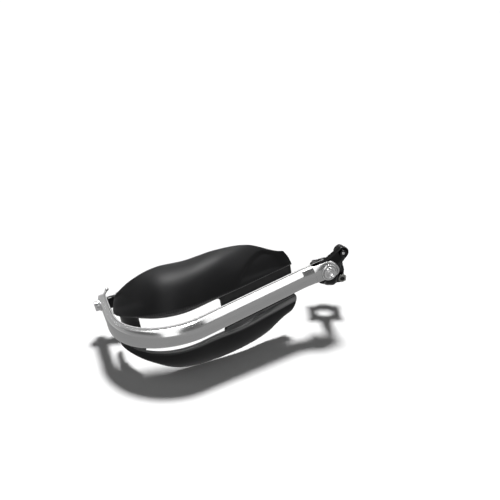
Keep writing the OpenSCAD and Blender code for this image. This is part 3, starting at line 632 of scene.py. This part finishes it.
holes = []
for k in range(shellScrews["count"]):
    spot = Matrix.Translation((bow["half"] - shellScrews["first"] - shellScrews["pitch"] * k, 0, 0))
    holes.append(rodCutter(shellScrews["holeR"], -25, -5, spot @ yUp))
# how much painted highlight and smoother plastic each point of the shell takes, by its distance from the
# crest and brow lines
sheenAndPolishValues = cover.data.attributes.new("sheenAndPolishMask", "FLOAT", "POINT")
sheenAndPolishPoints = []
for i in range(0, ringCount, 2):
    s = i / count
    crestShare = sheenAndPolishLines["crestLeast"] + sheenAndPolishLines["crestMore"] * (1 - s)
    sheenAndPolishPoints.append((Vector(front[i, crestAt]), sheenAndPolishLines["crestWidth"], crestShare))
    sheenAndPolishPoints.append((Vector(front[i, browAt]), sheenAndPolishLines["browWidth"], 1 - smooth(s, *sheenAndPolishLines["browEnd"])))
nearest = KDTree(len(sheenAndPolishPoints))
for i, (spot, width, share) in enumerate(sheenAndPolishPoints):
    nearest.insert(toScene @ spot, i)
nearest.balance()
for vertex in cover.data.vertices:
    spot, i, far = nearest.find(vertex.co)
    width, share = sheenAndPolishPoints[i][1:]
    sheenAndPolishValues.data[vertex.index].value = share * (1 - smooth(far / mm, width * 0.5, width * 1.6))
carve(cover, [windowCutter(), ventCutter()] + holes, soft=38)
wear(cover, "plastic", "shell")

# low tongue with which the web runs out along the leg behind the bow
tongue = {"front": 10.3, "back": 13.3, "low": -14.0, "start": 92, "step": 3.3, "shoulder": 0.6, "round": 0.8,
          "tops": (5.0, 4.5, 4.0, 3.2, 2.4, 1.4, 0.2, -1.2, -2.8, -5.5)}
near, rear, low = tongue["front"], tongue["back"], tongue["low"]
tongueRings = []
for i, high in enumerate(tongue["tops"]):
    d = bow["bendR"] * radians(tongue["start"]) + i * tongue["step"]
    t = min(d / bow["bendR"], legAngle)
    extra = max(0.0, d - bow["bendR"] * legAngle)
    under = high - tongue["shoulder"]
    ring = []
    for depth, z in ((near, low), (near, under), (near + tongue["round"], high),
                     (rear - tongue["round"], high), (rear, under), (rear, low)):
        r = bow["bendR"] - depth
        onBend = Vector((-bow["half"] - r * math.sin(t), bow["bendR"] - r * math.cos(t), z))
        ring.append(onBend + legDir * extra)
    tongueRings.append(ring)
points, faces = skin(tongueRings)
lip = newPiece("shell_tongue", points, faces, "plastic")
wear(lip, "plastic", "shell")
# the bow mirrors the studio and not the shell, so its band of light runs on unbroken
cover.visible_glossy = False
lip.visible_glossy = False
print("stage: shell made")

# fork bolt with its cup washer and its domed nut
fromFork = forkFrame @ Matrix.Translation((0, -bow["forkThickness"] / 2, 0)) @ yUp
washer = [(4.2, 0), (8.4, 0), (8.7, 0.3), (8.7, 1.0), (8.2, 1.6), (7.8, 1.8), (7.6, 1.8), (7.2, 1.4),
          (6.9, 0.9), (6.7, 0.8), (4.2, 0.8), (4.2, 0)]
points, faces = turned(washer)
wear(newPiece("fork_cup_washer", points, faces, "bright", fromFork), "bright", "fork_washer")
head = [(0, -24.0), (3.6, -24.0), (4.0, -23.6), (4.0, 0.8), (6.4, 0.8), (6.5, 0.9), (6.5, 2.4), (5.5, 3.6),
        (5.1, 3.7), (4.9, 3.6), (4.3, 2.8), (4.1, 2.8), (3.5, 3.5), (3.3, 3.5), (2.9, 3.2, "hex"),
        (2.5, 2.9, "hex"), (2.5, 1.2, "hex"), (1.2, 1.0), (0.0, 1.6)]
points, faces = turned(head, 72)
wear(newPiece("fork_socket_bolt", points, faces, "bright", fromFork), "bright", "fork_bolt")
toRear = forkFrame @ Matrix.Translation((0, bow["forkThickness"] / 2, 0)) @ rotation(-90, 0, 0)
dome = [(0, 6.2), (4.05, 6.2), (4.05, 0), (6.8, 0), (7.0, 0.3), (7.0, 4.4), (6.6, 5.4), (5.6, 6.6),
        (4.2, 7.4), (2.4, 7.9), (0, 8.0)]
points, faces = turned(dome)
wear(newPiece("fork_dome_nut", points, faces, "black", toRear), "black", "fork_nut")
print("stage: fork bolt made")

# link plate: how deep each ring round its raised rim lies, and how far it is drawn in
plateRim = ((3.0, 0.8), (2.2, 0), (-1.6, 0), (-2.2, 0.15), (-2.8, 0.6), (-3.0, 1.1), (-3.0, 1.5), (-2.7, 1.8),
            (-2.2, 2.3), (-2.0, 2.7), (-2.0, 3.6))
# two round ends of different size, joined by straight sides
def taperOutline(pitch, r0, r1):
    g = math.degrees(math.acos((r0 - r1) / pitch))
    near = [(r0 * math.cos(radians(v)), r0 * math.sin(radians(v))) for v in np.linspace(g, 360 - g, 40)]
    far = [(pitch + r1 * math.cos(radians(v)), r1 * math.sin(radians(v))) for v in np.linspace(-g, g, 30)]
    return near + far


plateRings = []
for depth, drawnIn in plateRim:
    outline = taperOutline(linkage["pitch"], linkage["width"] / 2 - drawnIn,
                           linkage["endWidth"] / 2 - drawnIn)
    plateRings.append([(x, depth, z) for x, z in outline])
points, faces = skin(plateRings)
plate = newPiece("link_plate", points, faces, "black", linkFrame)
endOfLink = linkFrame @ Matrix.Translation((linkage["pitch"], 0, 0))
carve(plate, [rodCutter(bow["boltHoleR"], -20, 20, linkFrame @ yUp),
              rodCutter(linkage["screwHoleR"], -20, 20, endOfLink @ yUp),
              rodCutter(linkage["counterboreR"], linkage["counterboreFloor"], 20, endOfLink @ yUp)])
wear(plate, "black", "link")
screw = [(0, -9.0), (2.2, -9.0), (2.5, -8.7), (2.5, 1.75), (3.9, 1.75), (4.0, 1.9), (4.0, 3.4), (3.7, 4.0),
         (3.2, 4.2), (2.6, 4.2), (2.3, 4.0, "hex"), (2.0, 3.8, "hex"), (2.0, 2.6, "hex"), (0.0, 2.4)]
points, faces = turned(screw, 48)
wear(newPiece("link_screw", points, faces, "dark", endOfLink @ yUp), "bright", "link_bolt")
# domed pip in the socket of the link screw
pip = [(0, 2.3), (1.95, 2.3)]
pip += [(1.95 * math.cos(radians(g)), 3.1 + 1.2 * math.sin(radians(g))) for g in range(0, 91, 10)]
points, faces = turned(pip, 40)
wear(newPiece("link_screw_pip", points, faces, "bright", endOfLink @ yUp), "bright", "link_bolt")
print("stage: link made")

# clamp arm: forged bar from the link to the clamp, swept round its elbow
barDir = (clampFrame.to_3x3() @ Vector((1, 0, 0))).normalized()
drop = (elbow - armStart).normalized()
path = []
elbowBend = arm["elbowBend"]
ringLimit = clamp["boreR"] + 1.5
for i in range(9):
    path.append(armStart + drop * ((elbow - armStart).length - elbowBend) * i / 8)
cornerA, cornerB = elbow - drop * elbowBend, elbow + barDir * elbowBend
for i in range(1, 12):
    t = i / 12
    path.append(cornerA * (1 - t) ** 2 + elbow * 2 * t * (1 - t) + cornerB * t * t)
for i in range(5):
    path.append(cornerB + (clampCentre - barDir * ringLimit - cornerB) * i / 4)
armRings = []
flat = clampFrame.to_3x3() @ Vector((0, 1, 0))
for i, p in enumerate(path):
    q = i / (len(path) - 1)
    onward = (path[min(i + 1, len(path) - 1)] - path[max(i - 1, 0)]).normalized()
    wide = (flat - onward * flat.dot(onward)).normalized()
    thick = onward.cross(wide)
    a = arm["width"][0] + arm["width"][1] * q
    b = arm["thickness"][0] + arm["thickness"][1] * q
    ring = []
    for j in range(32):
        g = j * 2 * math.pi / 32
        x, z = math.cos(g), math.sin(g)
        squareX, squareZ = math.copysign(abs(x) ** 0.5, x), math.copysign(abs(z) ** 0.5, z)
        ring.append(p + wide * a * squareX + thick * b * squareZ)
    armRings.append(ring)
points, faces = skin(armRings)
armBar = newPiece("arm_bar", points, faces, "black", soft=45)
eyeNear = linkage["thickness"] / 2 + linkage["gap"]
rim = -eyeNear
eyeProfile = [(0, rim), (5.7, rim), (6.2, rim - 0.5), (6.25, rim - 1), (6.25, rim - 4.3), (5.9, rim - 4.8),
              (5.3, rim - 5), (0, rim - 5)]
points, faces = turned(eyeProfile, 48)
eyePiece = newPiece("arm_eye", points, faces, "black", endOfLink @ yUp)
carve(armBar, [boxCutter((-40, -40, -40), (40, eyeNear, 40), endOfLink)], soft=45)


def clampHalf(name, local):
    boreR, outerR = clamp["boreR"], clamp["boreR"] + clamp["wall"]
    gap, wide = clamp["split"] / 2, clamp["width"] / 2
    ear, earHalf = clamp["ear"], clamp["earHalf"] - 1.8
    outline = []
    gapAngle = math.asin(gap / boreR)
    for g in np.linspace(math.pi / 2 + gapAngle, 3 * math.pi / 2 - gapAngle, 40):
        outline.append((boreR * math.cos(g), boreR * math.sin(g)))
    outline += [(-gap, -boreR - 0.6), (-gap, -earHalf + 0.8), (-gap - 0.8, -earHalf),
                (-ear + 1.2, -earHalf), (-ear - 0.2, -earHalf + 1.6)]
    earAngle = math.asin(min(1, clamp["earSpread"] / outerR))
    for g in np.linspace(math.pi + earAngle, math.pi - earAngle, 26):
        outline.append((outerR * math.cos(g), outerR * math.sin(g)))
    outline += [(-ear - 0.2, earHalf - 1.6), (-ear + 1.2, earHalf), (-gap - 0.8, earHalf),
                (-gap, earHalf - 0.8), (-gap, boreR + 0.6)]
    points, faces = skin([[(x, y, z) for x, y in outline] for z in (-wide, wide)])
    piece = newPiece(name, points, faces, "black", local)
    bores = []
    for y in (-clamp["boltOffset"], clamp["boltOffset"]):
        along = local @ Matrix.Translation((0, y, 0)) @ rotation(0, 90, 0)
        bores.append(rodCutter(clamp["boltHoleR"], -30, 30, along))
    carve(piece, bores)
    soften(piece, 0.7, 3)
    return piece


halfNear = clampHalf("arm_clamp_half", clampFrame)
for piece in (armBar, eyePiece, halfNear):
    wear(piece, "black", "arm")
halfFar = clampHalf("clamp_cap_half", clampFrame @ rotation(0, 0, 180))
wear(halfFar, "black", "clamp_cap")

# clamp screws, one through each pair of ears
top = clamp["split"] / 2 + clamp["ear"]
for k, y in enumerate((-clamp["boltOffset"], clamp["boltOffset"])):
    local = clampFrame @ Matrix.Translation((0, y, 0)) @ rotation(0, 90, 0)
    bolt = [(0, -top - 4.5), (2.2, -top - 4.5), (2.5, -top - 4.2), (2.5, top), (3.5, top), (3.6, top + 0.2),
            (3.6, top + 3.0), (3.3, top + 3.6), (2.9, top + 3.8), (2.4, top + 3.9, "hex"),
            (2.0, top + 3.6, "hex"), (2.0, top + 1.8, "hex"), (0, top + 1.5)]
    points, faces = turned(bolt, 48)
    wear(newPiece("clamp_screw_%d" % (k + 1), points, faces, "dark", local), "bright", "clamp_bolts")
print("stage: arm and clamp made")

# bar end: bolt, washer and spacer
legHalf = bow["legThickness"] / 2
seat = -legHalf - 1.2
bolt = [(0, seat - 1.6), (2.9, seat - 1.9, "hex"), (3.0, seat - 4.1, "hex"), (3.4, seat - 4.4, "hex"),
        (4.1, seat - 4.5), (4.8, seat - 4.3), (5.2, seat - 3.7), (5.25, seat - 0.3), (5.1, seat), (4.0, seat),
        (4.0, 50.0), (3.6, 50.5), (0, 50.5)]
points, faces = turned(bolt, 72)
wear(newPiece("bar_end_socket_bolt", points, faces, "bright", barEndFrame), "bright", "bar_end_bolt")
ring = [(4.2, seat), (6.2, seat), (6.5, seat + 0.3), (6.5, seat + 1.0), (6.3, seat + 1.2), (4.2, seat + 1.2),
        (4.2, seat)]
points, faces = turned(ring)
wear(newPiece("bar_end_ring", points, faces, "bright", barEndFrame), "bright", "bar_end_washer")
ring = [(4.2, legHalf), (6.2, legHalf), (6.5, legHalf + 0.4), (6.5, legHalf + 8.2), (6.1, legHalf + 9.2),
        (5.3, legHalf + 10), (4.2, legHalf + 10), (4.2, legHalf)]
points, faces = turned(ring)
wear(newPiece("bar_end_distance_ring", points, faces, "black", barEndFrame), "black", "bar_end_spacer")

# lock pin with its knob, leaning out of the end of the leg
knob = {"r": 2.0, "middle": 11.5}
pinPlace = Matrix.Translation((barEnd["inset"] - half + 4, 3.5, -0.5))
pinFrame = barEndFrame @ pinPlace @ rotation(-51, 0, 0)
pin = [(0, 0.1), (1.2, 0.1), (1.3, 0.3), (1.3, 9.4), (1.15, 9.7), (1.5, 9.9)]
for g in range(-40, 81, 10):
    pin.append((knob["r"] * math.cos(radians(g)), knob["middle"] + knob["r"] * math.sin(radians(g))))
pin.append((0, knob["middle"] + knob["r"]))
points, faces = turned(pin, 40)
wear(newPiece("lock_pin_turned", points, faces, "bright", pinFrame), "bright", "lock_pin")
print("stage: bar end made")

# CAD pieces whose shapes are right as they are
kept = {"shell_washers": "zinc", "shell_screws": "zinc", "expander_sleeve": "zinc", "expander_cone": "zinc",
        "clamp_nuts": "zinc"}
for name, key in kept.items():
    nodes[name].data.materials.clear()
    nodes[name].data.materials.append(finishes[key])

# floor that takes the shadow and nothing else, level with the real floor of the photo
# mirrored: strength of the painted glow that reflections see of the floor, from near the part to far behind
# it
ground = {"up": (0.095, -0.082, 0.992), "reach": 6.0, "below": 0.0008, "colour": "#f4f4f4",
          "mirrored": (0.4, 1.0), "between": (0.25, 0.5)}
floorUp = Vector(ground["up"]).normalized()
allPieces = [o for o in scene.objects if o.type == "MESH" and not o.hide_render]
lowest = min(min((o.matrix_world @ v.co).dot(floorUp) for v in o.data.vertices) for o in allPieces)
across = floorUp.orthogonal().normalized()
alongFloor = floorUp.cross(across)
centre = floorUp * (lowest - ground["below"])
corners = []
for a, b in ((-1, -1), (1, -1), (1, 1), (-1, 1)):
    corners.append(centre + across * a * ground["reach"] + alongFloor * b * ground["reach"])
floorMesh = bpy.data.meshes.new("floor")
floorMesh.from_pydata(corners, [], [(0, 1, 2, 3)])
floor = bpy.data.objects.new("floor", floorMesh)
scene.collection.objects.link(floor)


# white paint, rolled matt: the camera sees it with its shadow; metal sees a painted glow, dim near the part
def floorMaterial():
    material = bpy.data.materials.new("white_floor_matt")
    material.use_nodes = True
    tree = material.node_tree
    tree.nodes.clear()
    rays = addNode(tree, "ShaderNodeLightPath").outputs
    place = addNode(tree, "ShaderNodeSeparateXYZ", {0: addNode(tree, "ShaderNodeTexCoord").outputs["Object"]})
    paint = addNode(tree, "ShaderNodeBsdfDiffuse", {"Color": linear(ground["colour"])})
    level = addNode(tree, "ShaderNodeMapRange",
                    {"Value": place.outputs[1], "From Min": ground["between"][0],
                     "From Max": ground["between"][1], "To Min": ground["mirrored"][0],
                     "To Max": ground["mirrored"][1]}, interpolation_type="SMOOTHSTEP")
    # painted reflection: to glossy rays the floor is a glow, dim under and in front of the part and full far
    # behind it
    seen = addNode(tree, "ShaderNodeEmission", {"Strength": level.outputs["Result"]})
    mirrored = addNode(tree, "ShaderNodeMath",
                       {0: rays["Is Glossy Ray"], 1: rays["Is Transmission Ray"]}, operation="MAXIMUM")
    mixed = addNode(tree, "ShaderNodeMixShader",
                    {0: mirrored.outputs[0], 1: paint.outputs[0], 2: seen.outputs[0]})
    addNode(tree, "ShaderNodeOutputMaterial", {"Surface": mixed.outputs[0]})
    return material


floorMesh.materials.append(floorMaterial())
print("stage: floor made")

# studio round the part: what its metal mirrors, softboxes overhead and at the back, and dim light elsewhere
studio = {
    "walls": 0.42, "least": 0.03, "fill": 0.07,
    # directions besides x, y and z along which an edge may lie
    "along": {"leaning": (0.866, -0.5, 0.0), "reaching": (0.5, 0.866, 0.0),
              "spotward": tuple(Vector((0.17, 0.44, 0.88)).normalized())},
    # a patch adds its level inside all its edges: a direction, where the edge starts and where it is full
    "patches": {
        "rearWall": (0.18, (("y", 0.2, 0.8),)),
        "darkCeiling": (-0.24, (("z", 0.45, 0.8),)),
        "rightBox": (2.0, (("x", 0.34, 0.375), ("x", 0.62, 0.56), ("y", -0.64, -0.58), ("z", 0.53, 0.57))),
        "leaningBox": (1.6, (("leaning", -0.35, -0.28), ("leaning", 0.08, 0.0), ("reaching", -0.97, -0.9),
                             ("reaching", 0.66, 0.58), ("z", 0.2, 0.3))),
        "darkLine": (-0.52, (("x", 0.33, 0.36), ("y", 0.4, 0.5), ("z", 0.57, 0.53), ("z", 0.24, 0.28))),
        "horizon": (1.3, (("x", 0.34, 0.4), ("y", 0.5, 0.6), ("z", 0.28, 0.24))),
        "spot": (20.0, (("spotward", 0.98, 0.995), ("x", 0.31, 0.27))),
    },
}
world = bpy.data.worlds.new("studio")
scene.world = world
world.use_nodes = True
tree = world.node_tree
tree.nodes.clear()
rays = addNode(tree, "ShaderNodeLightPath").outputs
direction = addNode(tree, "ShaderNodeTexCoord").outputs["Generated"]
axes = dict(zip("xyz", addNode(tree, "ShaderNodeSeparateXYZ", {0: direction}).outputs))
for name, along in studio["along"].items():
    dot = addNode(tree, "ShaderNodeVectorMath", {0: direction, 1: along}, operation="DOT_PRODUCT")
    axes[name] = dot.outputs["Value"]
level = studio["walls"]
for amount, edges in studio["patches"].values():
    for axis, start, full in edges:
        edge = addNode(tree, "ShaderNodeMapRange", {"Value": axes[axis], "From Min": start, "From Max": full},
                       interpolation_type="SMOOTHSTEP")
        amount = addNode(tree, "ShaderNodeMath", {0: amount, 1: edge.outputs["Result"]},
                         operation="MULTIPLY").outputs[0]
    level = addNode(tree, "ShaderNodeMath", {0: level, 1: amount}, operation="ADD").outputs[0]
level = addNode(tree, "ShaderNodeMath", {0: level, 1: studio["least"]}, operation="MAXIMUM").outputs[0]
mirrored = addNode(tree, "ShaderNodeBackground", {"Color": linear("#ffffff"), "Strength": level})
white = addNode(tree, "ShaderNodeBackground", {"Color": linear("#ffffff"), "Strength": 1.0})
grey = addNode(tree, "ShaderNodeBackground", {"Color": linear("#ffffff"), "Strength": studio["fill"]})
shiny = addNode(tree, "ShaderNodeMath", {0: rays["Is Glossy Ray"], 1: rays["Is Transmission Ray"]},
                operation="MAXIMUM")
seen = addNode(tree, "ShaderNodeMixShader", {0: shiny.outputs[0], 1: grey.outputs[0], 2: mirrored.outputs[0]})
mixed = addNode(tree, "ShaderNodeMixShader",
                {0: rays["Is Camera Ray"], 1: seen.outputs[0], 2: white.outputs[0]})
addNode(tree, "ShaderNodeOutputWorld", {"Surface": mixed.outputs[0]})

# one broad lamp from the right rear, as the shadow of the photo tells
keyLamp = {"from": (0.487, 0.286, 1.0), "width": 0.2, "strength": 3.9, "glint": 0.8}
sun = bpy.data.lights.new("key", "SUN")
sun.angle = keyLamp["width"]
sun.energy = keyLamp["strength"]
lamp = bpy.data.objects.new("key", sun)
scene.collection.objects.link(lamp)
lamp.rotation_euler = Vector(keyLamp["from"]).to_track_quat("Z", "Y").to_euler()
lamp.visible_glossy = False
# a weak one in front, which lifts the dark side of the shell
frontLamp = {"place": (-0.45, -0.8, 0.25), "aim": (-0.19, -0.02, 0.02), "size": 0.5, "power": 0.8}
panel = bpy.data.lights.new("front", "AREA")
panel.size = frontLamp["size"]
panel.energy = frontLamp["power"]
panelLamp = bpy.data.objects.new("front", panel)
scene.collection.objects.link(panelLamp)
panelLamp.location = frontLamp["place"]
toPart = Vector(frontLamp["aim"]) - panelLamp.location
panelLamp.rotation_euler = toPart.to_track_quat("-Z", "Y").to_euler()
panelLamp.visible_glossy = False
# the same key as its glints on gloss black and steel
glints = bpy.data.collections.new("glints")
for name in ("link_plate", "arm_bar", "arm_eye", "arm_clamp_half", "clamp_cap_half", "fork_cup_washer",
             "fork_socket_bolt", "fork_dome_nut", "link_screw", "link_screw_pip", "bar_end_socket_bolt",
             "bar_end_ring", "lock_pin_turned"):
    glints.objects.link(bpy.data.objects[name])
glintSun = bpy.data.lights.new("glint", "SUN")
glintSun.angle = keyLamp["width"]
glintSun.energy = keyLamp["strength"] * keyLamp["glint"]
glintLamp = bpy.data.objects.new("glint", glintSun)
scene.collection.objects.link(glintLamp)
glintLamp.rotation_euler = lamp.rotation_euler
glintLamp.visible_diffuse = False
glintLamp.light_linking.receiver_collection = glints
print("stage: lights set")
